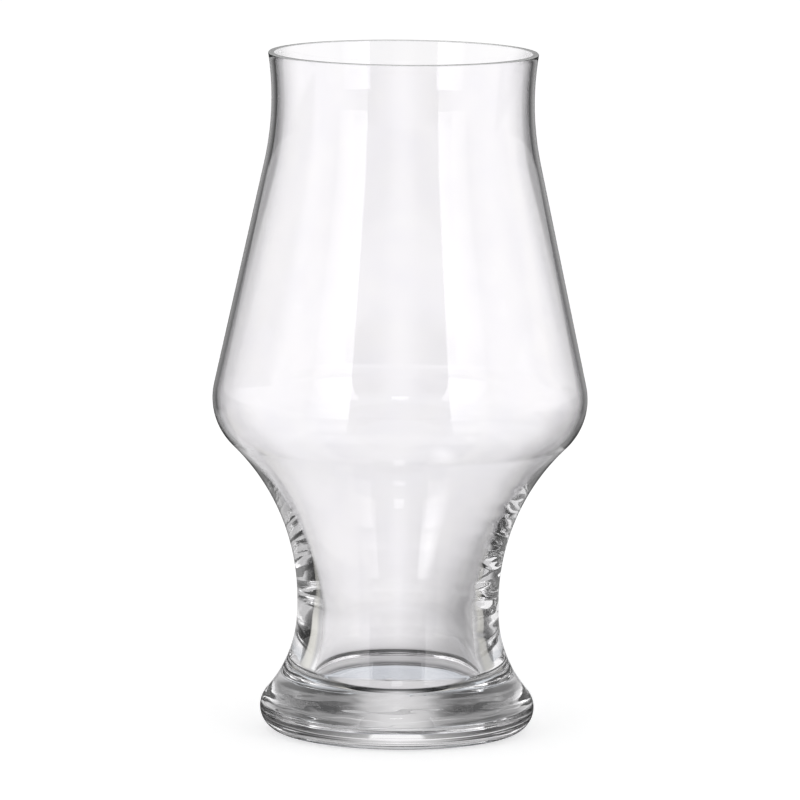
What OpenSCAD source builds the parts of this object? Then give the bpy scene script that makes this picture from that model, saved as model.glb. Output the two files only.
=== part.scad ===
// Tulip beer glass: a blown bowl with a hollow waist, fused to a solid pressed foot.
// Millimetres, +Z up, origin at the centre of the ring that the glass stands on.

/* [Lip and neck] */
// Height from the table to the top of the lip
glass_h = 165; // [145:1:190]
// Outside diameter at the narrowest place of the neck
neck_d = 63.3; // [56:0.1:72]
// Drop from the top of the lip to the narrowest place of the neck
neck_drop = 11.5; // [6:0.5:20]
// Outside radius of the sweep through the neck, from the cone up to the lip
neck_sweep_r = 71; // [45:1:90]
// Wall of the lip and the neck
lip_wall = 1.4; // [1:0.1:2.4]
// Radius of the two polished edges of the cut lip
lip_edge_r = 0.35; // [0.1:0.05:0.45]

/* [Shoulder] */
// Outside diameter at the widest place of the bowl
shoulder_d = 90.6; // [82:0.2:104]
// Height of the widest place of the bowl
shoulder_h = 81.2; // [70:0.2:94]
// Outside radius of the round between the cone and the slope to the waist
shoulder_round_r = 15.4; // [10:0.2:20]
// Wall at the widest place of the bowl
shoulder_wall = 1.05; // [0.9:0.05:2]
// Inside radius of that round
shoulder_in_r = 14; // [9:0.2:18]

/* [Waist and well] */
// Outside diameter at the waist
waist_d = 48.8; // [42:0.2:56]
// Height of the middle of the waist
waist_h = 30.8; // [26:0.2:36]
// Upright stretch in the middle of the waist
waist_land = 2.4; // [0.4:0.2:4]
// Inside diameter at the narrowest place of the well
well_d = 37.2; // [30:0.2:40]
// Rise from the lowest point of the well's floor to its narrowest place
well_rise = 16.8; // [12:0.2:20]
// Radius of the bend by which the well leaves its narrowest place upwards
well_bend_r = 30; // [20:1:45]
// Angle of that bend
well_bend = 10; // [2:1:14]
// How far the well widens, on each side, from its narrowest place down to its floor
well_flare = 1.7; // [0.8:0.1:2.6]
// Radius of the corner between the floor and the wall of the well
floor_corner_r = 3.5; // [1.5:0.25:5.5]
// Radius of the dished floor of the well
floor_dish_r = 140; // [60:5:300]
// Glass between the lowest point of the well's floor and the seat of the foot
floor_t = 3.4; // [2:0.1:5]

/* [Foot] */
// Outside diameter of the foot
foot_d = 66.4; // [60:0.2:76]
// Radius of the round edge of the foot, which is also the height of its widest place
foot_edge_r = 5.8; // [4:0.1:7]
// Diameter of the hollow under the foot, inside the ring that it stands on
hollow_d = 51; // [36:0.5:52]
// Height of the hollow at its middle
hollow_h = 0.8; // [0.4:0.1:3]

/* [Hidden] */
// Steps in the long sweeps and in the short rounds of the outline
sweep_steps = 14;
round_steps = 8;
// Steps once around the glass
$fn = 120;
// Clear glass, a little grey where it is thick
glass_colour = [0.87, 0.9, 0.91, 0.45];
// Straight out from the axis, the way from an upright stretch to the centre of its sweep
out = [1, 0];

// Points along an arc, as [radius, height]; first = 1 leaves out the start, where another stretch ends
function arc(centre, r, from, to, steps, first = 1) =
    [for (i = [first:steps])
        let (turn = from + (to - from) * i / steps)
        centre + r * [cos(turn), sin(turn)]];

// Centre of the arc that leaves a place, square to the direction given, and runs smoothly into a round
function sweep_centre(place, across, round_centre, round_r) =
    let (off = place - round_centre)
    place + across * (off * off - round_r * round_r) / (2 * (round_r - off * across));

// Direction from one point to another
function angle_to(from, to) = atan2(to.y - from.y, to.x - from.x);

// Slant of the straight line that touches a round below and a sweep above it
function slant(low_centre, low_r, high_centre, high_r) =
    angle_to(low_centre, high_centre) - acos((low_r + high_r) / norm(high_centre - low_centre));

function reverse(points) = [for (i = [len(points) - 1:-1:0]) points[i]];

// Neck, shoulder and the cone between them, outside and inside
neck_centre = [neck_d / 2 + neck_sweep_r, glass_h - neck_drop];
neck_in_r = neck_sweep_r + lip_wall;
shoulder_centre = [shoulder_d / 2 - shoulder_round_r, shoulder_h];
shoulder_in_centre = [shoulder_d / 2 - shoulder_wall - shoulder_in_r, shoulder_h];
cone_angle = slant(shoulder_centre, shoulder_round_r, neck_centre, neck_sweep_r);
cone_in_angle = slant(shoulder_in_centre, shoulder_in_r, neck_centre, neck_in_r);

// Lip: cut level, with a small round at each edge, which touches the face of the wall below it
edge_rise = neck_drop - lip_edge_r;
lip_out_angle = asin(edge_rise / (neck_sweep_r + lip_edge_r));
lip_in_angle = asin(edge_rise / (neck_in_r - lip_edge_r));
lip_out_centre = neck_centre + (neck_sweep_r + lip_edge_r) * [-cos(lip_out_angle), sin(lip_out_angle)];
lip_in_centre = neck_centre + (neck_in_r - lip_edge_r) * [-cos(lip_in_angle), sin(lip_in_angle)];

// Waist outside: two arcs that leave an upright stretch, one down to the foot and one up to the shoulder
waist_low = [waist_d / 2, waist_h - waist_land / 2];
waist_high = [waist_d / 2, waist_h + waist_land / 2];
foot_centre = [foot_d / 2 - foot_edge_r, foot_edge_r];
flare_centre = sweep_centre(waist_low, out, foot_centre, foot_edge_r);
flare_angle = angle_to(foot_centre, flare_centre);
slope_centre = sweep_centre(waist_high, out, shoulder_centre, shoulder_round_r);
slope_angle = angle_to(shoulder_centre, slope_centre);

// Seat of the bowl on the foot, at the widest place of the foot's round edge
seat = [foot_d / 2, foot_edge_r];

// Hollow under the foot: a shallow cap of a ball
hollow_r = (pow(hollow_d / 2, 2) + pow(hollow_h, 2)) / (2 * hollow_h);
hollow_angle = asin(hollow_d / 2 / hollow_r);

// Well inside the waist: a dished floor, a round corner, an arc up to its narrowest place,
// a bend there and a long sweep that runs into the shoulder
floor_h = seat.y + floor_t;
well_narrow = [well_d / 2, floor_h + well_rise];
corner_reach = floor_dish_r - floor_corner_r;
dish_angle = asin((well_d / 2 + well_flare - floor_corner_r) / corner_reach);
dish_centre = [0, floor_h + floor_dish_r];
corner_centre = dish_centre + corner_reach * [sin(dish_angle), -cos(dish_angle)];
well_low_centre = sweep_centre(well_narrow, out, corner_centre, floor_corner_r);
corner_angle = angle_to(corner_centre, well_low_centre);
bend_centre = well_narrow + well_bend_r * out;
bend_across = [cos(well_bend), -sin(well_bend)];
bend_end = bend_centre - well_bend_r * bend_across;
well_high_centre = sweep_centre(bend_end, bend_across, shoulder_in_centre, shoulder_in_r);
well_high_r = norm(well_high_centre - bend_end);
well_slope_angle = angle_to(shoulder_in_centre, well_high_centre);

// Outside of the bowl, from the seat up to the lip
bowl_outside = concat(
    arc(foot_centre, foot_edge_r, 0, flare_angle, round_steps, 0),
    arc(flare_centre, flare_centre.x - waist_low.x, 180 + flare_angle, 180, sweep_steps),
    [waist_high],
    arc(slope_centre, slope_centre.x - waist_high.x, 180, 180 + slope_angle, sweep_steps),
    arc(shoulder_centre, shoulder_round_r, slope_angle, cone_angle, sweep_steps),
    arc(neck_centre, neck_sweep_r, 180 + cone_angle, 180 - lip_out_angle, sweep_steps, 0));

// Cut lip, from the outside face over the level top to the inside face
lip_edges = concat(
    arc(lip_out_centre, lip_edge_r, -lip_out_angle, 90, round_steps),
    arc(lip_in_centre, lip_edge_r, 90, 180 - lip_in_angle, round_steps, 0));

// Inside of the bowl, from the middle of the well's floor up to just under the lip
neck_inside = arc(neck_centre, neck_in_r, 180 + cone_in_angle, 180 - lip_in_angle, sweep_steps, 0);
bowl_inside = concat(
    arc(dish_centre, floor_dish_r, -90, dish_angle - 90, round_steps, 0),
    arc(corner_centre, floor_corner_r, dish_angle - 90, corner_angle, round_steps),
    arc(well_low_centre, well_low_centre.x - well_narrow.x, 180 + corner_angle, 180, round_steps),
    arc(bend_centre, well_bend_r, 180, 180 - well_bend, round_steps),
    arc(well_high_centre, well_high_r, 180 - well_bend, 180 + well_slope_angle, sweep_steps),
    arc(shoulder_in_centre, shoulder_in_r, well_slope_angle, cone_in_angle, sweep_steps),
    [for (i = [0:sweep_steps - 1]) neck_inside[i]]);

// Underside and lower half of the round edge of the foot, from the middle of the hollow out to the seat
foot_outside = concat(
    arc([0, hollow_h - hollow_r], hollow_r, 90, 90 - hollow_angle, round_steps, 0),
    arc(foot_centre, foot_edge_r, -90, 0, sweep_steps, 0));

module bowl() {
    color(glass_colour)
    rotate_extrude()
    polygon(concat([[0, seat.y]], bowl_outside, lip_edges, reverse(bowl_inside)));
}

module foot() {
    color(glass_colour)
    rotate_extrude()
    polygon(concat(foot_outside, [[0, seat.y]]));
}

bowl();
foot();
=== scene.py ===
# %% [markdown]
# # A tulip beer glass
# A clear glass on a white table: a blown bowl with a hollow waist, fused to a pressed foot.
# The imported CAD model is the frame: it says which pieces there are, where they stand and how large
# they are. This lesson dresses it with two smooth pieces of glass, the studio round them and a camera
# like the photographer's.

# %% Load the frame
from math import acos, asin, atan2, ceil, cos, pi, radians, sin

import bpy
from mathutils import Matrix, Vector


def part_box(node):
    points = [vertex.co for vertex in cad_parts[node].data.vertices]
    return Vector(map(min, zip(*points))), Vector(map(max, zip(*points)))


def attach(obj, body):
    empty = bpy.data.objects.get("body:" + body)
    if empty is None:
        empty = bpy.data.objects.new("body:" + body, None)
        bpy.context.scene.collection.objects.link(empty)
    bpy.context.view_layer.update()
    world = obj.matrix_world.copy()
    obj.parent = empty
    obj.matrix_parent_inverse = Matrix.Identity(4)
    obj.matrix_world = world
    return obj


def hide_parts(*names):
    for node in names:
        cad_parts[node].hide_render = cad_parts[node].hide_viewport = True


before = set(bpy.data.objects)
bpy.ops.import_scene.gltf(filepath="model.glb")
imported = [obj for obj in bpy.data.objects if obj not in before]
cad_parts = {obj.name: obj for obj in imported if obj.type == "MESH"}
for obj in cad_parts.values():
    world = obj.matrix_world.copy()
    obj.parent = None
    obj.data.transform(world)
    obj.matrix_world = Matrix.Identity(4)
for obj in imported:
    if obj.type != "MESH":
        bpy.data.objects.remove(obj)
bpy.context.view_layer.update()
scene = bpy.context.scene
scene.view_settings.view_transform = "Standard"
MM = 0.001


# %% [markdown]
# ## The sizes of the glass
# A glass is turned on one axis, so its whole shape is one line: the outline of half its section.
# The mould maker draws that line as arcs that run smoothly into each other. The height, the widest
# place and the foot are read from the frame. The rest are the mould's own radii, walls and heights,
# which the frame's boxes can't tell, so they are named here in millimetres.

# %% Read the large sizes and name the radii and walls
bowl_high = Vector(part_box("bowl")[1])
foot_high = Vector(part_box("foot")[1])
lip_h, shoulder_r = bowl_high.z, bowl_high.x
foot_r, foot_edge_r = foot_high.x, foot_high.z
neck_r, neck_drop, neck_sweep_r = 31.65 * MM, 11.5 * MM, 71 * MM
lip_wall, lip_edge_r = 1.4 * MM, 0.35 * MM
shoulder_h, shoulder_round_r = 81.2 * MM, 15.4 * MM
shoulder_wall, shoulder_in_r = 1.05 * MM, 14 * MM
waist_r, waist_h, waist_land = 24.4 * MM, 30.8 * MM, 2.4 * MM
well_r, well_rise, well_flare = 18.6 * MM, 16.8 * MM, 1.7 * MM
well_bend_r, well_bend = 30 * MM, radians(10)
floor_corner_r, floor_dish_r, floor_t = 3.5 * MM, 140 * MM, 3.4 * MM
hollow_r, hollow_h = 25.5 * MM, 0.8 * MM
seam = 0.1 * MM
print("shoulder", round(shoulder_r / MM, 2), "foot", round(foot_r / MM, 2), "lip", round(lip_h / MM, 2))

# %% [markdown]
# ## Arcs that run into each other
# Two rounds meet without a corner when the line through their centres passes through the place where
# they touch. `sweep_centre` finds the arc that leaves a place in a given direction and runs into a
# given round, such as the shoulder, and `slant` the straight wall between two rounds. A spline drawn
# by eye would do too, but a glossy surface shows every bump in it. Points are (radius, height).

# %% Helpers for the outline
OUT = Vector((1, 0))


def polar(centre, radius, turn):
    return centre + radius * Vector((cos(turn), sin(turn)))


def arc(centre, radius, start, end, step):
    count = max(2, ceil(abs(end - start) * radius / step))
    return [polar(centre, radius, start + (end - start) * i / count) for i in range(1, count + 1)]


def line(start, end, step):
    count = max(1, ceil((end - start).length / step))
    return [start.lerp(end, i / count) for i in range(1, count + 1)]


def sweep_centre(start, across, round_centre, round_r):
    off = start - round_centre
    return start + across * ((off.length_squared - round_r ** 2) / (2 * (round_r - off.dot(across))))


def angle_to(start, end):
    return atan2(end.y - start.y, end.x - start.x)


def slant(low_centre, low_r, high_centre, high_r):
    span = high_centre - low_centre
    return angle_to(low_centre, high_centre) - acos((low_r + high_r) / span.length)


print("half a round of the lip takes", len(arc(OUT, lip_edge_r, 0, pi, seam)), "steps as fine as the seam")

# %% [markdown]
# ## Neck, shoulder and lip
# From the lip down, the outside is the sweep of the neck, a straight cone and the round of the shoulder.
# The inside has the same order with radii of its own, so the wall grows thinner towards the shoulder.
# Solidify would be quicker, but it makes an even wall, and a blown one never is. The lip is cut level
# and polished, so it has two small rounds with a flat between them.

# %% Centres and angles of the upper rounds
neck_centre = Vector((neck_r + neck_sweep_r, lip_h - neck_drop))
neck_in_r = neck_sweep_r + lip_wall
shoulder_centre = Vector((shoulder_r - shoulder_round_r, shoulder_h))
shoulder_in_centre = Vector((shoulder_r - shoulder_wall - shoulder_in_r, shoulder_h))
cone_angle = slant(shoulder_centre, shoulder_round_r, neck_centre, neck_sweep_r)
cone_in_angle = slant(shoulder_in_centre, shoulder_in_r, neck_centre, neck_in_r)

edge_rise = neck_drop - lip_edge_r
lip_out_angle = asin(edge_rise / (neck_sweep_r + lip_edge_r))
lip_in_angle = asin(edge_rise / (neck_in_r - lip_edge_r))
lip_out_centre = polar(neck_centre, neck_sweep_r + lip_edge_r, pi - lip_out_angle)
lip_in_centre = polar(neck_centre, neck_in_r - lip_edge_r, pi - lip_in_angle)
print("the cone leans by", round(cone_angle / radians(1), 1), "degrees")

# %% [markdown]
# ## The waist and the seat
# Below the shoulder the outside sweeps in to the waist, runs upright for a short stretch and flares out
# again to the round edge of the foot. Both sweeps leave that stretch upright, so their centres lie
# straight out from it. Bowl and foot meet at the widest place of the foot, where the mould parts and
# leaves a fine seam.

# %% Centres and angles of the lower rounds
waist_low = Vector((waist_r, waist_h - waist_land / 2))
waist_high = Vector((waist_r, waist_h + waist_land / 2))
foot_centre = Vector((foot_r - foot_edge_r, foot_edge_r))
flare_centre = sweep_centre(waist_low, OUT, foot_centre, foot_edge_r)
flare_angle = angle_to(foot_centre, flare_centre)
slope_centre = sweep_centre(waist_high, OUT, shoulder_centre, shoulder_round_r)
slope_angle = angle_to(shoulder_centre, slope_centre)
seat_h = foot_edge_r
seam_angle = asin(seam / foot_edge_r)
print("the slope is a sweep of", round((slope_centre.x - waist_r) / MM, 1), "mm")

# %% [markdown]
# ## The well
# The waist is hollow. This well has a dished floor, a round corner, a narrowest place, a bend there and
# a long sweep that runs into the shoulder. Its wall is nearly six millimetres thick, so it bends the
# light much more than the thin cone above does. A plain bore would be simpler, but the bent light would
# give it away.

# %% Centres and angles inside the waist
floor_h = seat_h + floor_t
well_narrow = Vector((well_r, floor_h + well_rise))
corner_reach = floor_dish_r - floor_corner_r
dish_angle = asin((well_r + well_flare - floor_corner_r) / corner_reach)
dish_centre = Vector((0, floor_h + floor_dish_r))
corner_centre = polar(dish_centre, corner_reach, dish_angle - pi / 2)
well_low_centre = sweep_centre(well_narrow, OUT, corner_centre, floor_corner_r)
corner_angle = angle_to(corner_centre, well_low_centre)
bend_centre = well_narrow + well_bend_r * OUT
bend_end = polar(bend_centre, well_bend_r, pi - well_bend)
bend_across = Vector((cos(well_bend), -sin(well_bend)))
well_high_centre = sweep_centre(bend_end, bend_across, shoulder_in_centre, shoulder_in_r)
well_high_r = (well_high_centre - bend_end).length
well_slope_angle = angle_to(shoulder_in_centre, well_high_centre)
print("floor of the well at", round(floor_h / MM, 2), "mm, upper sweep", round(well_high_r / MM, 1), "mm")

# %% [markdown]
# ## Turning an outline into glass
# By hand one would place a vertex, extrude it along the outline and spin the line once round the axis.
# The same operators do it here. The ends lie on the axis, so merging doubles closes both poles, and
# normals recalculated after that point out of the glass on every side.

# %% Helper that extrudes an outline and spins it
SPIN_STEPS = 224
AXIS_MERGE = 0.002 * MM


def turn_outline(name, outline):
    bpy.ops.object.select_all(action="DESELECT")
    bpy.ops.mesh.primitive_plane_add(size=lip_wall, location=(0, 0, 0))
    piece = bpy.context.object
    piece.name = piece.data.name = name
    bpy.ops.object.mode_set(mode="EDIT")
    bpy.ops.mesh.merge(type="CENTER")
    bpy.ops.transform.translate(value=(outline[0].x, 0, outline[0].y))
    for here, there in zip(outline, outline[1:]):
        move = there - here
        bpy.ops.mesh.extrude_vertices_move(TRANSFORM_OT_translate={"value": (move.x, 0, move.y)})
    bpy.ops.mesh.select_all(action="SELECT")
    bpy.ops.mesh.spin(steps=SPIN_STEPS, angle=2 * pi, center=(0, 0, 0), axis=(0, 0, 1))
    bpy.ops.mesh.select_all(action="SELECT")
    bpy.ops.mesh.remove_doubles(threshold=AXIS_MERGE)
    bpy.ops.mesh.normals_make_consistent(inside=False)
    bpy.ops.object.mode_set(mode="OBJECT")
    bpy.ops.object.shade_smooth()
    return piece


print("one step of the spin is", round(2 * pi * shoulder_r / SPIN_STEPS / MM, 2), "mm long at the shoulder")

# %% [markdown]
# ## The outside of the bowl
# The bowl is one gather of glass, blown into a mould that shapes its outside. The outline climbs from
# the foot's edge to the lip and goes over it. Tight rounds take short steps and long walls take long
# ones, so the mesh is fine only where it bends.

# %% Outline of the outside and the lip
WALL_STEP = 1.2 * MM
LIP_STEP = 0.06 * MM
outside = [
    arc(foot_centre, foot_edge_r, seam_angle, flare_angle, WALL_STEP / 4),
    arc(flare_centre, flare_centre.x - waist_low.x, pi + flare_angle, pi, WALL_STEP / 2),
    [waist_high],
    arc(slope_centre, slope_centre.x - waist_high.x, pi, pi + slope_angle, WALL_STEP),
    arc(shoulder_centre, shoulder_round_r, slope_angle, cone_angle, WALL_STEP / 2),
    line(polar(shoulder_centre, shoulder_round_r, cone_angle),
         polar(neck_centre, neck_sweep_r, pi + cone_angle), 2 * WALL_STEP),
    arc(neck_centre, neck_sweep_r, pi + cone_angle, pi - lip_out_angle, WALL_STEP)]
lip = [
    arc(lip_out_centre, lip_edge_r, -lip_out_angle, pi / 2, LIP_STEP),
    arc(lip_in_centre, lip_edge_r, pi / 2, pi - lip_in_angle, LIP_STEP)]
print("outside", sum(map(len, outside)), "points, lip", sum(map(len, lip)), "points")

# %% [markdown]
# ## The inside of the bowl
# Air shapes the inside, so its rounds are its own. The outline climbs from the middle of the well's
# floor to just under the lip. The well takes the shortest steps, because its wall is wrinkled later and
# the wrinkles need points to move.

# %% Outline of the inside
inside = [
    [Vector((0, floor_h))],
    arc(dish_centre, floor_dish_r, -pi / 2, dish_angle - pi / 2, WALL_STEP),
    arc(corner_centre, floor_corner_r, dish_angle - pi / 2, corner_angle, WALL_STEP / 3),
    arc(well_low_centre, well_low_centre.x - well_narrow.x, pi + corner_angle, pi, WALL_STEP / 3),
    arc(bend_centre, well_bend_r, pi, pi - well_bend, WALL_STEP / 3),
    arc(well_high_centre, well_high_r, pi - well_bend, pi + well_slope_angle, WALL_STEP / 3),
    arc(shoulder_in_centre, shoulder_in_r, well_slope_angle, cone_in_angle, WALL_STEP / 2),
    line(polar(shoulder_in_centre, shoulder_in_r, cone_in_angle),
         polar(neck_centre, neck_in_r, pi + cone_in_angle), 2 * WALL_STEP),
    arc(neck_centre, neck_in_r, pi + cone_in_angle, pi - lip_in_angle, WALL_STEP)[:-1]]
print("inside", sum(map(len, inside)), "points")

# %% [markdown]
# ## The bowl
# The whole outline runs from the axis at the seat out to the foot's edge, up the outside, over the lip
# and down the inside to the middle of the well's floor. Both ends are on the axis, so the spun bowl is
# one closed skin, as light needs it to tell glass from air.

# %% Turn the bowl
seat_edge = Vector((foot_r - seam, seat_h))
bowl_outline = [Vector((0, seat_h)), seat_edge, polar(foot_centre, foot_edge_r, seam_angle)]
bowl_outline += [point for stretch in outside + lip for point in stretch]
bowl_outline += [point for stretch in inside for point in stretch][::-1]
bowl = turn_outline("bowl_glass_body", bowl_outline)
print("bowl outline", len(bowl_outline), "points,", len(bowl.data.polygons), "faces")

# %% [markdown]
# ## The foot
# The foot is a disc pressed from a second gather and fused to the bowl while both are hot. It stands on
# a flat ring round a shallow hollow, so that it can't rock. It is turned from its own outline, up to the
# seat. A fine seam stays where the two halves of the mould meet, as the groove that both edges share.

# %% Turn the foot
ball_r = (hollow_r ** 2 + hollow_h ** 2) / (2 * hollow_h)
ball_centre = Vector((0, hollow_h - ball_r))
ball_angle = asin(hollow_r / ball_r)
foot_outline = [Vector((0, hollow_h))]
foot_outline += arc(ball_centre, ball_r, pi / 2, pi / 2 - ball_angle, WALL_STEP / 2)
foot_outline += line(foot_outline[-1], Vector((foot_centre.x, 0)), WALL_STEP / 2)
foot_outline += arc(foot_centre, foot_edge_r, -pi / 2, -seam_angle, WALL_STEP / 4)
foot_outline += [seat_edge, Vector((0, seat_h))]
foot = turn_outline("foot_glass_body", foot_outline)
print("foot outline", len(foot_outline), "points,", len(foot.data.polygons), "faces")

# %% [markdown]
# ## A way to wrinkle glass
# Hot glass that touches a cooler mould wrinkles a little before it sets. A Displace modifier with a
# cloud texture makes such ripples, and a vertex group says where and how strongly. An empty gives the
# texture its stretch and its slant. Real geometry bends the light in thick glass, which a bump on the
# surface alone would not do so well.

# %% Helpers that displace part of a piece
def wrinkle(piece, name, size, height, stretch, tilt, weigh):
    texture = bpy.data.textures.new(name, "CLOUDS")
    texture.noise_scale = size
    texture.noise_depth = 0
    bpy.ops.object.select_all(action="DESELECT")
    bpy.ops.object.empty_add(location=(0, 0, 0))
    grid = bpy.context.object
    grid.scale = stretch
    grid.rotation_euler = (0, tilt, 0)
    group = piece.vertex_groups.new(name=name)
    for vertex in piece.data.vertices:
        group.add([vertex.index], weigh(vertex), "REPLACE")
    bpy.context.view_layer.update()
    bpy.context.view_layer.objects.active = piece
    wave = piece.modifiers.new(name, "DISPLACE")
    wave.texture = texture
    wave.texture_coords = "OBJECT"
    wave.texture_coords_object = grid
    wave.vertex_group = name
    wave.strength = height
    bpy.ops.object.modifier_apply(modifier=name)
    piece.vertex_groups.clear()
    bpy.data.objects.remove(grid)


def fade(value, start, end):
    share = min(1, max(0, (value - start) / (end - start)))
    return share * share * (3 - 2 * share)


print("half way through a fade the share is", fade(0.5, 0, 1))

# %% [markdown]
# ## Chill wrinkles and press waves
# The inside of the waist has chill wrinkles, strong on the right and slightly slanted. They lie between
# the floor of the well and the slope, and only faces that look inwards get them. The hollow under the
# foot is wavy from the press, up to its rim, so that the ring the glass stands on stays flat.

# %% Displace the wall of the well and the hollow of the foot
WRINKLES_SIDE = (0.4, 0.95)
WRINKLES_LOW, WRINKLES_HIGH = (17 * MM, 24 * MM), (68 * MM, 58 * MM)
WAVES_RIM = 2 * MM
INWARDS, DOWNWARDS = -0.3, -0.9


def well_weight(vertex):
    place, normal = vertex.co, vertex.normal
    across = Vector((place.x, place.y))
    if across.length < AXIS_MERGE or across.normalized().dot(Vector((normal.x, normal.y))) > INWARDS:
        return 0.0
    side = fade(place.x / across.length, *WRINKLES_SIDE)
    return side * fade(place.z, *WRINKLES_LOW) * fade(place.z, *WRINKLES_HIGH)


def hollow_weight(vertex):
    across = Vector((vertex.co.x, vertex.co.y)).length
    return fade(across, hollow_r, hollow_r - WAVES_RIM) if vertex.normal.z < DOWNWARDS else 0.0


wrinkle(bowl, "chill_wrinkles", size=3 * MM, height=0.14 * MM, stretch=(5, 5, 1), tilt=radians(20),
        weigh=well_weight)
wrinkle(foot, "press_waves", size=4 * MM, height=0.1 * MM, stretch=(1, 1, 1), tilt=0, weigh=hollow_weight)
print("well wrinkled, hollow waved;", len(bowl.data.vertices) + len(foot.data.vertices), "vertices in all")

# %% [markdown]
# ## Colours and nodes
# Colours are written as sRGB hex, the way a colour picker shows them, and one function makes them
# linear for the shader. One more adds a node with its settings, the stops of a colour ramp among them,
# and its links. Inputs that share a name, as those of a Math node do, are called by number.

# %% Helpers for materials
def linear(hex_colour):
    channels = [int(hex_colour[i:i + 2], 16) / 255 for i in (1, 3, 5)]
    return tuple(c / 12.92 if c <= 0.04045 else ((c + 0.055) / 1.055) ** 2.4 for c in channels) + (1,)


def add_node(tree, kind, settings, links):
    node = tree.nodes.new(kind)
    for key, value in settings.items():
        if key == "stops":
            elements = node.color_ramp.elements
            while len(elements) < len(value):
                elements.new(1.0)
            for element, (position, colour) in zip(elements, value):
                element.position = position
                element.color = colour
        elif isinstance(key, str) and hasattr(node, key):
            setattr(node, key, value)
        else:
            node.inputs[key].default_value = value
    for key, source in links.items():
        tree.links.new(source, node.inputs[key])
    return node


def new_material(name):
    material = bpy.data.materials.new(name)
    material.use_nodes = True
    material.node_tree.nodes.clear()
    return material, material.node_tree


print("the hex grey #808080 is", round(linear("#808080")[0], 3), "when it is linear")

# %% [markdown]
# ## Clear glass
# Soda-lime glass, blown and pressed, with a fire-bright surface. The eye sees it by what it bends and
# mirrors, so the shader is a full transmission at the index of such glass, with no roughness. Blown
# walls are never quite even: a fine bump with waves a few millimetres long makes reflections tremble
# a little. The tint is nearly white with a breath of violet, which makers add to hide the green of
# iron, and it drifts by a hair from place to place.

# %% Glass for the bowl and the foot
GLASS_IOR = 1.52


def clear_glass(name, wave_size, wave_height):
    material, tree = new_material(name)
    place = add_node(tree, "ShaderNodeTexCoord", {}, {})
    waves = add_node(tree, "ShaderNodeTexNoise", {"Scale": 1 / wave_size, "Detail": 1.0},
                     {"Vector": place.outputs["Object"]})
    tint = add_node(tree, "ShaderNodeValToRGB", {
        "stops": [(0.3, linear("#FDFCFE")), (0.7, linear("#FFFEFF"))]}, {"Fac": waves.outputs["Fac"]})
    bump = add_node(tree, "ShaderNodeBump", {"Strength": 1.0, "Distance": wave_height},
                    {"Height": waves.outputs["Fac"]})
    shader = add_node(tree, "ShaderNodeBsdfPrincipled", {
        "Roughness": 0.0, "IOR": GLASS_IOR, "Transmission Weight": 1.0},
        {"Base Color": tint.outputs["Color"], "Normal": bump.outputs["Normal"]})
    add_node(tree, "ShaderNodeOutputMaterial", {}, {"Surface": shader.outputs["BSDF"]})
    return material


bowl_glass = clear_glass("clear_blown_glass", wave_size=9 * MM, wave_height=0.004 * MM)
foot_glass = clear_glass("clear_pressed_glass", wave_size=5 * MM, wave_height=0.004 * MM)
print("glass", bowl_glass.name, "and", foot_glass.name)

# %% [markdown]
# ## The cut lip
# The bowl is blown with a cap on it, which is cut off, and the cut is ground level and polished. What is
# left of the grinding scatters a little light, so the rim shows as a fine pale line. A clear rim would
# break up into bright and dark lines, so here about a third of the light goes through, and the rest is
# scattered by a pale, slightly cloudy surface.

# %% Glass for the lip
CLOUD_SIZE = 1.5 * MM
cut_lip, tree = new_material("ground_and_polished_lip")
place = add_node(tree, "ShaderNodeTexCoord", {}, {})
cloud = add_node(tree, "ShaderNodeTexNoise", {"Scale": 1 / CLOUD_SIZE, "Detail": 2.0},
                 {"Vector": place.outputs["Object"]})
pale = add_node(tree, "ShaderNodeValToRGB", {
    "stops": [(0.3, linear("#EDEEEE")), (0.7, linear("#FAFAFA"))]}, {"Fac": cloud.outputs["Fac"]})
shader = add_node(tree, "ShaderNodeBsdfPrincipled", {
    "Roughness": 0.2, "IOR": GLASS_IOR, "Transmission Weight": 0.3}, {"Base Color": pale.outputs["Color"]})
add_node(tree, "ShaderNodeOutputMaterial", {}, {"Surface": shader.outputs["BSDF"]})
print("lip", cut_lip.name)

# %% [markdown]
# ## The fused seat
# Where bowl and foot are fused, the real glass has no surface at all. Both solids have a face there, so
# those faces get a shader that lets all light through unbent, and the light stays inside the glass. The
# polish of the lip reaches down over most of its two small rounds.

# %% Give the pieces their glass and hang them on the frame
GLASS, SEAT, LIP = range(3)
POLISHED_SHARE = 0.8
fused_seat, tree = new_material("fused_glass_seat")
shader = add_node(tree, "ShaderNodeBsdfPrincipled", {"Alpha": 0.0}, {})
add_node(tree, "ShaderNodeOutputMaterial", {}, {"Surface": shader.outputs["BSDF"]})
for piece, glass, node, slot in (
        (bowl, bowl_glass, "bowl", "bowl_glass"), (foot, foot_glass, "foot", "foot_glass")):
    piece.data.materials.append(glass)
    piece.data.materials.append(fused_seat)
    if piece == bowl:
        piece.data.materials.append(cut_lip)
    counts = [0, 0, 0]
    for face in piece.data.polygons:
        heights = [piece.data.vertices[v].co.z for v in face.vertices]
        on_seat = all(abs(height - seat_h) < AXIS_MERGE for height in heights)
        on_lip = min(heights) > lip_h - POLISHED_SHARE * lip_edge_r
        face.material_index = SEAT if on_seat else LIP if on_lip else GLASS
        face.use_smooth = not on_seat
        counts[face.material_index] += 1
    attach(piece, "root")
    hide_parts(node)
    print(piece.name, counts, "faces of glass, seat and lip")

# %% [markdown]
# ## The camera
# The photographer stood well back with a long lens, a little above the middle of the glass. The ellipse
# of the lip gives the camera's rise and the outline its scale, and the glass leans by half a degree in
# the picture, which is the camera's roll.

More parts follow.
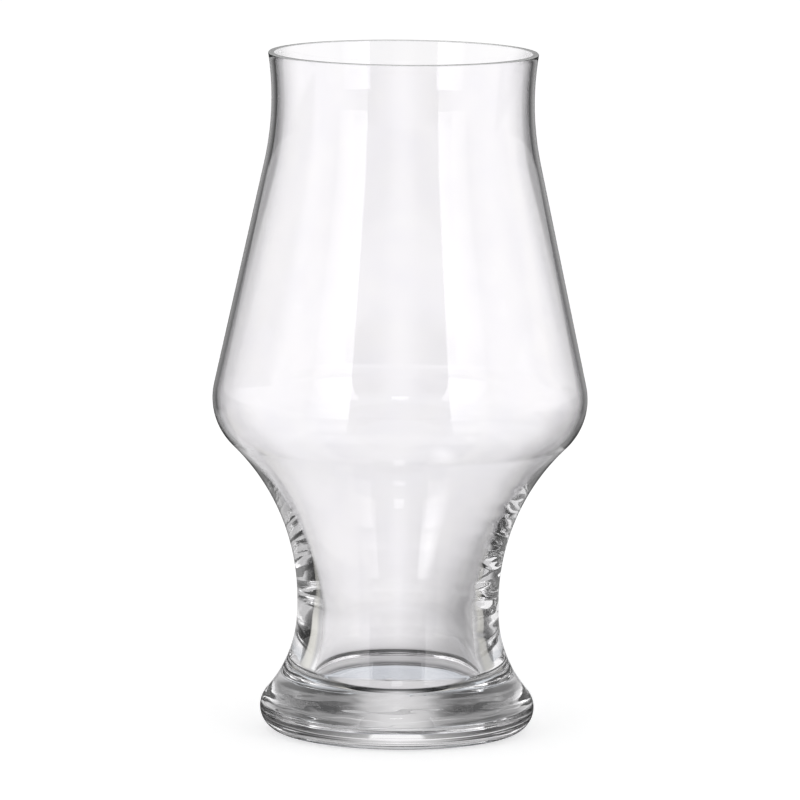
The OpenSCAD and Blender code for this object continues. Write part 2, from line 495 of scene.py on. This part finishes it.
# %% Camera
AIM = Vector((0, 0, 80.7 * MM))
camera_far, camera_rise, camera_roll = 2.0, radians(7.865), radians(0.595)
IMAGE_PX, PX_PER_MM = 800, 4.1405
camera_data = bpy.data.cameras.new("camera")
camera = bpy.data.objects.new("camera", camera_data)
scene.collection.objects.link(camera)
camera_data.lens = camera_data.sensor_width * PX_PER_MM * camera_far / MM / IMAGE_PX
camera_place = AIM + camera_far * Vector((0, -cos(camera_rise), sin(camera_rise)))
camera.matrix_world = (Matrix.Translation(camera_place) @ Matrix.Rotation(pi / 2 - camera_rise, 4, "X")
                       @ Matrix.Rotation(camera_roll, 4, "Z"))
scene.camera = camera
print("lens", round(camera_data.lens, 1), "mm")

# %% [markdown]
# ## A white table for clear glass
# Glass on white is photographed in a bright field: white stands behind it and dark cards stand beside
# it, so each edge of the glass, which bends the view sideways, draws itself dark. To the eye this table
# is plain white. What the glass shows of it is painted by the path that the light took, and by the place
# on the table: the turn round the glass, which is 0 straight behind it, and the distance from its axis.
# Real cards would do too, but they would also stand in the picture and in the way of other views.

# %% Table, and the places on it
TABLE_SIZE = 200
bpy.ops.object.select_all(action="DESELECT")
bpy.ops.mesh.primitive_plane_add(size=TABLE_SIZE, location=(0, 0, 0))
table = bpy.context.object
table.name = "table_top"
white_table, tree = new_material("white_table")
path = add_node(tree, "ShaderNodeLightPath", {}, {})
place = add_node(tree, "ShaderNodeTexCoord", {}, {})
axes = add_node(tree, "ShaderNodeSeparateXYZ", {}, {0: place.outputs["Object"]})
turn = add_node(tree, "ShaderNodeMath", {"operation": "ARCTAN2"},
                {0: axes.outputs["X"], 1: axes.outputs["Y"]})
far = add_node(tree, "ShaderNodeVectorMath", {"operation": "LENGTH"}, {0: place.outputs["Object"]})
print("table", TABLE_SIZE, "m wide")

# %% [markdown]
# ## Tones in a ramp
# The studio is painted with colour ramps. Each lists its tones in a measure that is easy to think in,
# such as degrees from the middle of a lane or metres from the glass, and the unit turns that into the
# ramp's own scale from 0 to 1. A tone is a level of grey or, seldom, a colour.

# %% Helpers for ramps
def grey(level):
    return (level, level, level, 1)


def ramp_stops(tones, unit=1):
    return [(value * unit, tone if isinstance(tone, tuple) else grey(tone)) for value, tone in tones]


print("45 degrees of 90 are at", ramp_stops([(45, 1)], 1 / 90)[0][0], "of a ramp")

# %% [markdown]
# ## White lanes
# Light that goes straight through the walls lands on white lanes, which run out from the glass every
# eighth of a turn, so that all sides look alike. Beside a lane the table falls to grey and to nearly
# black. Far out it falls to a middle grey only: the thin walls high up send their light there, and
# their edges are softer.

# %% Lanes for light that goes straight through
LANE_HALF, LANE_SPAN = 60 * MM, 22.5
LANES_NEAR, LANES_FAR = 1.5, 1.9


def blend_far(tree, far, near_tone, far_tone, start, end):
    share = add_node(tree, "ShaderNodeMapRange", {"From Min": start, "From Max": end},
                     {"Value": far.outputs["Value"]})
    return add_node(tree, "ShaderNodeMixRGB", {}, {
        0: share.outputs[0], 1: near_tone.outputs["Color"], 2: far_tone.outputs["Color"]})


reach = add_node(tree, "ShaderNodeMath", {"operation": "DIVIDE", 0: LANE_HALF}, {1: far.outputs["Value"]})
lane = add_node(tree, "ShaderNodeMath", {"operation": "PINGPONG", 1: radians(LANE_SPAN)},
                {0: turn.outputs[0]})
beyond = add_node(tree, "ShaderNodeMath", {"operation": "SUBTRACT"},
                  {0: lane.outputs[0], 1: reach.outputs[0]})
lane_share = add_node(tree, "ShaderNodeMath", {"operation": "DIVIDE", 1: radians(LANE_SPAN)},
                      {0: beyond.outputs[0]})
near_lanes = add_node(tree, "ShaderNodeValToRGB", {"stops": ramp_stops([
    (0, 1), (7.5, 1), (8.8, 0.75), (10.3, 0.68), (11.8, 0.54), (14.5, 0.3), (16.5, 0.1), (18.5, 0.03),
    (22.5, 0.03)], 1 / LANE_SPAN)}, {0: lane_share.outputs[0]})
far_lanes = add_node(tree, "ShaderNodeValToRGB", {"stops": ramp_stops([
    (0, 1), (7.2, 1), (8.6, 0.5), (10.5, 0.4), (14, 0.32), (22.5, 0.25)], 1 / LANE_SPAN)},
    {0: lane_share.outputs[0]})
lanes = blend_far(tree, far, near_lanes, far_lanes, LANES_NEAR, LANES_FAR)
print("lanes every", 2 * LANE_SPAN, "degrees")

# %% [markdown]
# ## Dark cards beside the foot
# The round edge of the foot bends the view down to the table close by. Dark cards lie there between the
# back and the sides, and give the foot its dark outline. Only light that crossed two surfaces and then
# flew a short way sees them, which is the light that left the foot. Counts of surfaces are whole
# numbers, so the limit lies half a step above two. The turn is folded like a fan, so that what is
# painted on one quarter repeats on all four.

# %% Cards for light that leaves the foot
QUARTER = 90
FOOT_SURFACES, HALF_STEP = 2, 0.5
SHORT_WAY, LONG_WAY = 70 * MM, 110 * MM


def fold(tree, turn, span):
    folded = add_node(tree, "ShaderNodeMath", {"operation": "PINGPONG", 1: radians(span)},
                      {0: turn.outputs[0]})
    return add_node(tree, "ShaderNodeMath", {"operation": "DIVIDE", 1: radians(span)},
                    {0: folded.outputs[0]})


quarter_share = fold(tree, turn, QUARTER)
cards = add_node(tree, "ShaderNodeValToRGB", {"stops": ramp_stops([
    (0, 1), (4, 0.8), (9, 0.2), (20, 0.1), (25, 0.05), (58, 0.05), (70, 1)], 1 / QUARTER)},
    {0: quarter_share.outputs[0]})
few_surfaces = add_node(tree, "ShaderNodeMath", {"operation": "LESS_THAN", 1: FOOT_SURFACES + HALF_STEP},
                        {0: path.outputs["Transmission Depth"]})
low_down = add_node(tree, "ShaderNodeMapRange", {"From Min": LONG_WAY, "From Max": SHORT_WAY},
                    {"Value": path.outputs["Ray Length"]})
at_foot = add_node(tree, "ShaderNodeMath", {"operation": "MULTIPLY"},
                   {0: few_surfaces.outputs[0], 1: low_down.outputs[0]})
carded = add_node(tree, "ShaderNodeMixRGB", {"blend_type": "MULTIPLY"}, {
    0: at_foot.outputs[0], 1: lanes.outputs[0], 2: cards.outputs["Color"]})
print("cards for ways shorter than", round(LONG_WAY / MM), "mm")

# %% [markdown]
# ## Fields for light that was turned round
# In thick glass light is often thrown back from inside before it leaves, and its glossy depth counts how
# often. Such light finds broad fields instead of lanes: white straight behind, black near forty degrees,
# then cream and white at the sides. They draw the wide dark edges of the waist and the cream line in
# them. A white halo round the foot shows in the wrinkles as pale streaks.

# %% Fields, and the halo round the foot
CREAM = linear("#ECEBE3")
FIELDS_NEAR, FIELDS_FAR = 0.45, 0.65
near_fields = add_node(tree, "ShaderNodeValToRGB", {"stops": ramp_stops([
    (0, 0.95), (8, 0.8), (12, 0.62), (16, 0.5), (20, 0.38), (24, 0.25), (28, 0.12), (33, 0.04), (37, 0.01),
    (47, 0.01), (50, CREAM), (60, CREAM), (66, 0.6), (75, 0.75), (90, 0.95)], 1 / QUARTER)},
    {0: quarter_share.outputs[0]})
far_fields = add_node(tree, "ShaderNodeValToRGB", {"stops": ramp_stops([
    (0, 0.95), (8, 0.8), (12, 0.6), (16, 0.45), (20, 0.3), (24, 0.18), (29, 0.06), (38, 0.08), (50, 0.5),
    (62, 0.9), (90, 0.95)], 1 / QUARTER)}, {0: quarter_share.outputs[0]})
fields = blend_far(tree, far, near_fields, far_fields, FIELDS_NEAR, FIELDS_FAR)
halo = add_node(tree, "ShaderNodeValToRGB", {"stops": ramp_stops([
    (0.1, 0), (0.115, 1), (0.15, 1), (0.19, 0)])}, {0: far.outputs["Value"]})
haloed = add_node(tree, "ShaderNodeMixRGB", {2: grey(1)}, {0: halo.outputs["Color"], 1: fields.outputs[0]})
turned = add_node(tree, "ShaderNodeMath", {"operation": "MINIMUM", 1: 1.0},
                  {0: path.outputs["Glossy Depth"]})
seen = add_node(tree, "ShaderNodeMixRGB", {}, {
    0: turned.outputs[0], 1: carded.outputs[0], 2: haloed.outputs[0]})
print("near fields end at", FIELDS_NEAR, "m, far fields begin at", FIELDS_FAR, "m")

# %% [markdown]
# ## Uneven light
# A hand's breadth or two from the glass the table is never darker than a middle grey, which keeps the
# edges of the slope soft. Behind the glass it is whitest on the left and greyer to the right, as the
# light is in the picture.

# %% Lift and shade
LIFT = 0.5
close = add_node(tree, "ShaderNodeValToRGB", {"stops": ramp_stops([
    (0.1, 0), (0.16, 1), (0.34, 1), (0.44, 0)])}, {0: far.outputs["Value"]})
lifted = add_node(tree, "ShaderNodeMixRGB", {"blend_type": "LIGHTEN", 2: grey(LIFT)}, {
    0: close.outputs["Color"], 1: seen.outputs[0]})
shade = add_node(tree, "ShaderNodeValToRGB", {"stops": ramp_stops([
    (0, 0.99), (4, 0.93), (10, 0.79), (20, 0.55), (35, 0.31)], radians(1))}, {0: turn.outputs[0]})
behind = add_node(tree, "ShaderNodeValToRGB", {"stops": ramp_stops([
    (0.02, 0), (0.06, 1), (0.3, 1), (0.55, 0)])}, {0: axes.outputs["Y"]})
uneven = add_node(tree, "ShaderNodeMixRGB", {"blend_type": "MULTIPLY"}, {
    0: behind.outputs["Color"], 1: lifted.outputs[0], 2: shade.outputs["Color"]})
print("nothing under a grey of", LIFT, "at a hand's breadth")

# %% [markdown]
# ## The ring under the foot
# The glass stands on a ring. Where it touches the table, and close round it, little light gets in, so
# a dark ring lies there. Light that flew a long way after it left the glass does not see it, which
# keeps the view from steeply above clear.

# %% Contact ring
RING_REACH = 200 * MM
ring_share = add_node(tree, "ShaderNodeMath", {"operation": "DIVIDE", 1: RING_REACH},
                      {0: far.outputs["Value"]})
ring = add_node(tree, "ShaderNodeValToRGB", {"stops": ramp_stops([
    (0, 0.75), (16, 0.7), (20, 0.3), (23, 0.08), (32, 0.08), (39, 0.5), (46, 0.6), (60, 0.7), (74, 0.88),
    (90, 0.96), (120, 1)], MM / RING_REACH)}, {0: ring_share.outputs[0]})
shaded = add_node(tree, "ShaderNodeMixRGB", {"blend_type": "MULTIPLY"}, {
    0: low_down.outputs[0], 1: uneven.outputs[0], 2: ring.outputs["Color"]})
print("contact ring within", round(RING_REACH / MM), "mm")

# %% [markdown]
# ## Light that wandered in the wall
# Light that was thrown back four times or more has wandered round in the thick wall and may leave to
# any side. It takes its tone from that side alone, pale or dark, with quick changes between. Wrinkles
# scatter such light, so they show as bright and dark ripples. The room does the same, so this is a
# function.

# %% Tones for light that wandered
WANDER_COUNT = 3
FULL_TURN = 360
WANDER_TONES = [
    (28, 0.03), (40, 1), (92, 1), (108, 0.03), (160, 0.03), (170, 0.12), (178, 0.4), (185, 0.62),
    (240, 0.55), (325, 0.65), (335, 0.08), (360, 0.03)]


def let_wander(tree, path, turn, seen):
    often = add_node(tree, "ShaderNodeMath", {"operation": "GREATER_THAN", 1: WANDER_COUNT + HALF_STEP},
                     {0: path.outputs["Glossy Depth"]})
    share = add_node(tree, "ShaderNodeMapRange", {"From Min": -pi, "From Max": pi},
                     {"Value": turn.outputs[0]})
    tone = add_node(tree, "ShaderNodeValToRGB", {"stops": ramp_stops(WANDER_TONES, 1 / FULL_TURN)},
                    {0: share.outputs[0]})
    return add_node(tree, "ShaderNodeMixRGB", {}, {
        0: often.outputs[0], 1: seen.outputs[0], 2: tone.outputs["Color"]})


glass_view = let_wander(tree, path, turn, shaded)
print("light wanders after", WANDER_COUNT, "turns back")

# %% [markdown]
# ## What the outside mirrors
# The outside of the glass mirrors the table as well. Next to the glass it is dark. Farther out it shows
# the light of the two soft boxes at the front left and right, with a sharp edge towards the camera.

# %% Mirrored table
HALF_TURN = 180
MIRROR_NEAR, MIRROR_FAR = 0.17, 0.26
side_share = fold(tree, turn, HALF_TURN)
boxes_light = add_node(tree, "ShaderNodeValToRGB", {"stops": ramp_stops([
    (0, 0.04), (52, 0.05), (64, 0.1), (80, 0.45), (122, 0.42), (135, 0.8), (149, 1), (149.5, 0.18)],
    1 / HALF_TURN)}, {0: side_share.outputs[0]})
mirror_near = add_node(tree, "ShaderNodeValToRGB", {"stops": ramp_stops([
    (0.05, 0.02), (0.1, 0.06), (0.16, 0.25)])}, {0: far.outputs["Value"]})
mirror_view = blend_far(tree, far, mirror_near, boxes_light, MIRROR_NEAR, MIRROR_FAR)
print("the mirrored table is dark up to", MIRROR_NEAR, "m")

# %% [markdown]
# ## A painted glow for the streak on the waist
# A patch of painted light lies on the table close to the foot at the front right, slightly askew. It glows
# though it is no lamp, and the waist mirrors it as one soft upright streak, a painted highlight. A Mapping
# node brings its place, slant and half sizes to a round of radius 1, which fades from its core outwards.
# The mirrored table has the strength of the soft boxes, and the patch is brighter still.

# %% Painted glow for the streak on the waist
BOX_STRENGTH = 2.0
# Place, size, slant and brightness of a patch of painted light on the table, which the waist shows as a
# painted highlight
PAINTED_GLOW_PLACE, PAINTED_GLOW_HALF = (38.5 * MM, -72 * MM, 0), (14 * MM, 43 * MM, 1)
PAINTED_GLOW_TURN, PAINTED_GLOW_CORE, PAINTED_GLOW_TONE = radians(11.7), 0.2, 1.8
painted_glow_place = add_node(tree, "ShaderNodeMapping", {
    "vector_type": "TEXTURE", "Location": PAINTED_GLOW_PLACE, "Rotation": (0, 0, PAINTED_GLOW_TURN), "Scale": PAINTED_GLOW_HALF},
    {"Vector": place.outputs["Object"]})
painted_glow_far = add_node(tree, "ShaderNodeVectorMath", {"operation": "LENGTH"}, {0: painted_glow_place.outputs[0]})
painted_glow = add_node(tree, "ShaderNodeMapRange", {"From Min": 1.0, "From Max": PAINTED_GLOW_CORE},
                {"Value": painted_glow_far.outputs["Value"]})
painted_glow_low = add_node(tree, "ShaderNodeMath", {"operation": "MULTIPLY"},
                    {0: painted_glow.outputs[0], 1: low_down.outputs[0]})
# the patch of painted light, brighter than the soft boxes, goes into the mirrored table here
mirror_painted_glow = add_node(tree, "ShaderNodeMixRGB", {2: grey(PAINTED_GLOW_TONE)}, {
    0: painted_glow_low.outputs[0], 1: mirror_view.outputs[0]})
mirror_glow = add_node(tree, "ShaderNodeVectorMath", {"operation": "SCALE", "Scale": BOX_STRENGTH},
                       {0: mirror_painted_glow.outputs[0]})
print("pale card", round(2 * PAINTED_GLOW_HALF[0] / MM), "by", round(2 * PAINTED_GLOW_HALF[1] / MM), "mm")

# %% [markdown]
# ## White to the camera
# To the camera and to scattered light the table is matt white paint. A little glow, for the camera only,
# brings it up to the white of the room and keeps the glass's soft shadow. Light through the glass and
# light off the glass take the two views made above.

# %% Finished table
PAINT, PAINT_GLOW = linear("#E7E7E7"), 0.55
view = add_node(tree, "ShaderNodeMixRGB", {}, {
    0: path.outputs["Is Transmission Ray"], 1: mirror_glow.outputs[0], 2: glass_view.outputs[0]})
glow = add_node(tree, "ShaderNodeEmission", {}, {"Color": view.outputs[0]})
camera_glow = add_node(tree, "ShaderNodeMath", {"operation": "MULTIPLY", 1: PAINT_GLOW},
                       {0: path.outputs["Is Camera Ray"]})
paint = add_node(tree, "ShaderNodeBsdfPrincipled", {
    "Base Color": PAINT, "Roughness": 0.9, "Specular IOR Level": 0.0, "Emission Color": grey(1)},
    {"Emission Strength": camera_glow.outputs[0]})
mix = add_node(tree, "ShaderNodeMixShader", {}, {
    0: path.outputs["Is Glossy Ray"], 1: paint.outputs[0], 2: glow.outputs[0]})
add_node(tree, "ShaderNodeOutputMaterial", {}, {"Surface": mix.outputs[0]})
table.data.materials.append(white_table)
print("table", table.name, "with", len(tree.nodes), "nodes")

# %% [markdown]
# ## The room behind the table
# The room goes on where the table ends, as a world without walls. Light straight through the glass finds
# a white lane in it every quarter turn, with grey and dark beside it as on the table far out.

# %% World, and its lanes
OPEN_SPAN = 45
world = bpy.data.worlds.new("studio")
scene.world = world
world.use_nodes = True
tree = world.node_tree
tree.nodes.clear()
path = add_node(tree, "ShaderNodeLightPath", {}, {})
place = add_node(tree, "ShaderNodeTexCoord", {}, {})
axes = add_node(tree, "ShaderNodeSeparateXYZ", {}, {0: place.outputs["Generated"]})
turn = add_node(tree, "ShaderNodeMath", {"operation": "ARCTAN2"},
                {0: axes.outputs["X"], 1: axes.outputs["Y"]})
lane_share = fold(tree, turn, OPEN_SPAN)
open_lanes = add_node(tree, "ShaderNodeValToRGB", {"stops": ramp_stops([
    (0, 1), (7.2, 1), (8.6, 0.5), (10.5, 0.4), (14, 0.32), (22.5, 0.2), (30, 0.08), (45, 0.08)],
    1 / OPEN_SPAN)}, {0: lane_share.outputs[0]})
print("room with lanes every", 2 * OPEN_SPAN, "degrees")

# %% [markdown]
# ## Fields and ceiling of the room
# Light that was turned round in the glass finds fields here too, with a darker band a little above
# level, which greys the foot. Overhead lies a cool grey ceiling. Heights are given in degrees above
# level, and the world's Z is the sine of that.

# %% World for light that was turned round
CEILING = linear("#CBD1D6")


def rise_stops(tones):
    return [(sin(radians(degrees)), grey(tone)) for degrees, tone in tones]


quarter_share = fold(tree, turn, QUARTER)
pale_fields = add_node(tree, "ShaderNodeValToRGB", {"stops": ramp_stops([
    (0, 0.75), (4, 0.72), (8, 0.56), (11, 0.33), (20, 0.25), (32, 0.28), (48, 0.3), (60, 0.75), (75, 0.95),
    (90, 0.95)], 1 / QUARTER)}, {0: quarter_share.outputs[0]})
dark_fields = add_node(tree, "ShaderNodeValToRGB", {"stops": ramp_stops([
    (0, 0.75), (8, 0.6), (14, 0.2), (18, 0.08), (30, 0.08), (48, 0.16), (60, 0.7), (75, 0.95), (90, 0.95)],
    1 / QUARTER)}, {0: quarter_share.outputs[0]})
band = add_node(tree, "ShaderNodeValToRGB", {"stops": rise_stops([(8, 0), (13, 1), (25, 1), (30, 0)])},
                {0: axes.outputs["Z"]})
banded = add_node(tree, "ShaderNodeMixRGB", {}, {
    0: band.outputs["Color"], 1: pale_fields.outputs["Color"], 2: dark_fields.outputs["Color"]})
turned = add_node(tree, "ShaderNodeMath", {"operation": "MINIMUM", 1: 1.0},
                  {0: path.outputs["Glossy Depth"]})
backdrop = add_node(tree, "ShaderNodeMixRGB", {}, {
    0: turned.outputs[0], 1: open_lanes.outputs["Color"], 2: banded.outputs[0]})
high_up = add_node(tree, "ShaderNodeValToRGB", {"stops": rise_stops([(24, 0), (40, 1)])},
                   {0: axes.outputs["Z"]})
roofed = add_node(tree, "ShaderNodeMixRGB", {2: CEILING}, {
    0: high_up.outputs["Color"], 1: backdrop.outputs[0]})
room_view = let_wander(tree, path, turn, roofed)
print("ceiling", [round(v, 2) for v in CEILING[:3]])

# %% [markdown]
# ## The room off the glass, and for the rest
# In reflections the room is dim behind and in front, bright at the sides and dark overhead, so that the
# soft boxes stand out on the glass. To the camera it is white, and on matt things it sheds a plain
# light.

# %% World in reflections
OVERHEAD, PLAIN_LIGHT = 0.15, 0.6
side_light = add_node(tree, "ShaderNodeValToRGB", {"stops": ramp_stops([
    (0, 0.25), (28, 0.3), (50, 0.6), (62, 0.95), (90, 0.95)], 1 / QUARTER)}, {0: quarter_share.outputs[0]})
overhead = add_node(tree, "ShaderNodeValToRGB", {"stops": rise_stops([(32, 0), (48, 1)])},
                    {0: axes.outputs["Z"]})
mirror_room = add_node(tree, "ShaderNodeMixRGB", {2: grey(OVERHEAD)}, {
    0: overhead.outputs["Color"], 1: side_light.outputs["Color"]})
room = add_node(tree, "ShaderNodeMixRGB", {}, {
    0: path.outputs["Is Transmission Ray"], 1: mirror_room.outputs[0], 2: room_view.outputs[0]})
light = add_node(tree, "ShaderNodeMixRGB", {1: grey(PLAIN_LIGHT)}, {
    0: path.outputs["Is Glossy Ray"], 2: room.outputs[0]})
sky = add_node(tree, "ShaderNodeMixRGB", {2: grey(1)}, {
    0: path.outputs["Is Camera Ray"], 1: light.outputs[0]})
back = add_node(tree, "ShaderNodeBackground", {}, {"Color": sky.outputs[0]})
add_node(tree, "ShaderNodeOutputWorld", {}, {"Surface": back.outputs["Background"]})
print("world", world.name, "with", len(tree.nodes), "nodes")

# %% [markdown]
# ## Soft boxes
# Two tall soft boxes stand in front of the glass, left and right, and draw the two long pale strips on
# the bowl. Each is brightest at the edge next to the camera and fades outwards, so a strip has one
# sharp side and one soft side. An area lamp is evenly bright, so these are planes that glow, and their
# fade is a ramp across them.

# %% Soft boxes
BOX_FAR, BOX_WIDTH, BOX_HEIGHT, BOX_TURN = 1.4, 0.66, 1.3, radians(44.5)


def soft_box(name, turn, tones):
    box_place = (BOX_FAR * sin(turn), -BOX_FAR * cos(turn), BOX_HEIGHT / 2)
    bpy.ops.object.select_all(action="DESELECT")
    bpy.ops.mesh.primitive_plane_add(size=1, location=box_place, rotation=(pi / 2, 0, turn))
    box = bpy.context.object
    box.name = name
    box.scale = (BOX_WIDTH, BOX_HEIGHT, 1)
    material, tree = new_material(name)
    place = add_node(tree, "ShaderNodeTexCoord", {}, {})
    axes = add_node(tree, "ShaderNodeSeparateXYZ", {}, {0: place.outputs["Object"]})
    share = add_node(tree, "ShaderNodeMath", {"operation": "ADD", 1: 0.5}, {0: axes.outputs["X"]})
    ramp = add_node(tree, "ShaderNodeValToRGB", {"stops": ramp_stops(tones)}, {0: share.outputs[0]})
    shader = add_node(tree, "ShaderNodeEmission", {"Strength": BOX_STRENGTH},
                      {"Color": ramp.outputs["Color"]})
    add_node(tree, "ShaderNodeOutputMaterial", {}, {"Surface": shader.outputs[0]})
    box.data.materials.append(material)
    box.visible_camera = False
    return box


left_box = soft_box("left_box", -BOX_TURN, [(0, 0.475), (0.5, 0.8), (1, 1)])
right_box = soft_box("right_box", BOX_TURN, [(0, 1), (0.3, 0.8), (1, 0.475)])
print("soft boxes", left_box.name, "and", right_box.name)

# %% [markdown]
# ## A lamp above the camera
# One small lamp above the camera gives the short dash on the shoulder. A point lamp would give a dot, so
# it is an area lamp, wider than high, and weak enough to leave the boxes their work.

# %% Lamp
LAMP_FAR, LAMP_RISE = 1.5, radians(40)
LAMP_WIDTH, LAMP_HEIGHT, LAMP_WATTS = 0.26, 0.14, 0.25
lamp_data = bpy.data.lights.new("front_lamp", "AREA")
lamp_data.shape = "RECTANGLE"
lamp_data.size, lamp_data.size_y = LAMP_WIDTH, LAMP_HEIGHT
lamp_data.energy = LAMP_WATTS
lamp = bpy.data.objects.new("front_lamp", lamp_data)
scene.collection.objects.link(lamp)
lamp_off = LAMP_FAR * Vector((0, -cos(LAMP_RISE), sin(LAMP_RISE)))
lamp_aim = lamp_off.to_track_quat("Z", "Y").to_matrix().to_4x4()
lamp.matrix_world = Matrix.Translation(AIM + lamp_off) @ lamp_aim
print(lamp.name, "at", [round(v, 2) for v in lamp.location])

# %% [markdown]
# ## Light that stays inside
# A look through the thick waist and foot crosses many walls and is turned round between them, so the
# light may bounce more often than Blender allows by default. Otherwise the glass goes black there.

# %% Bounces
scene.cycles.max_bounces = 32
scene.cycles.transmission_bounces = 32
scene.cycles.glossy_bounces = 24
print("bounces", scene.cycles.max_bounces)
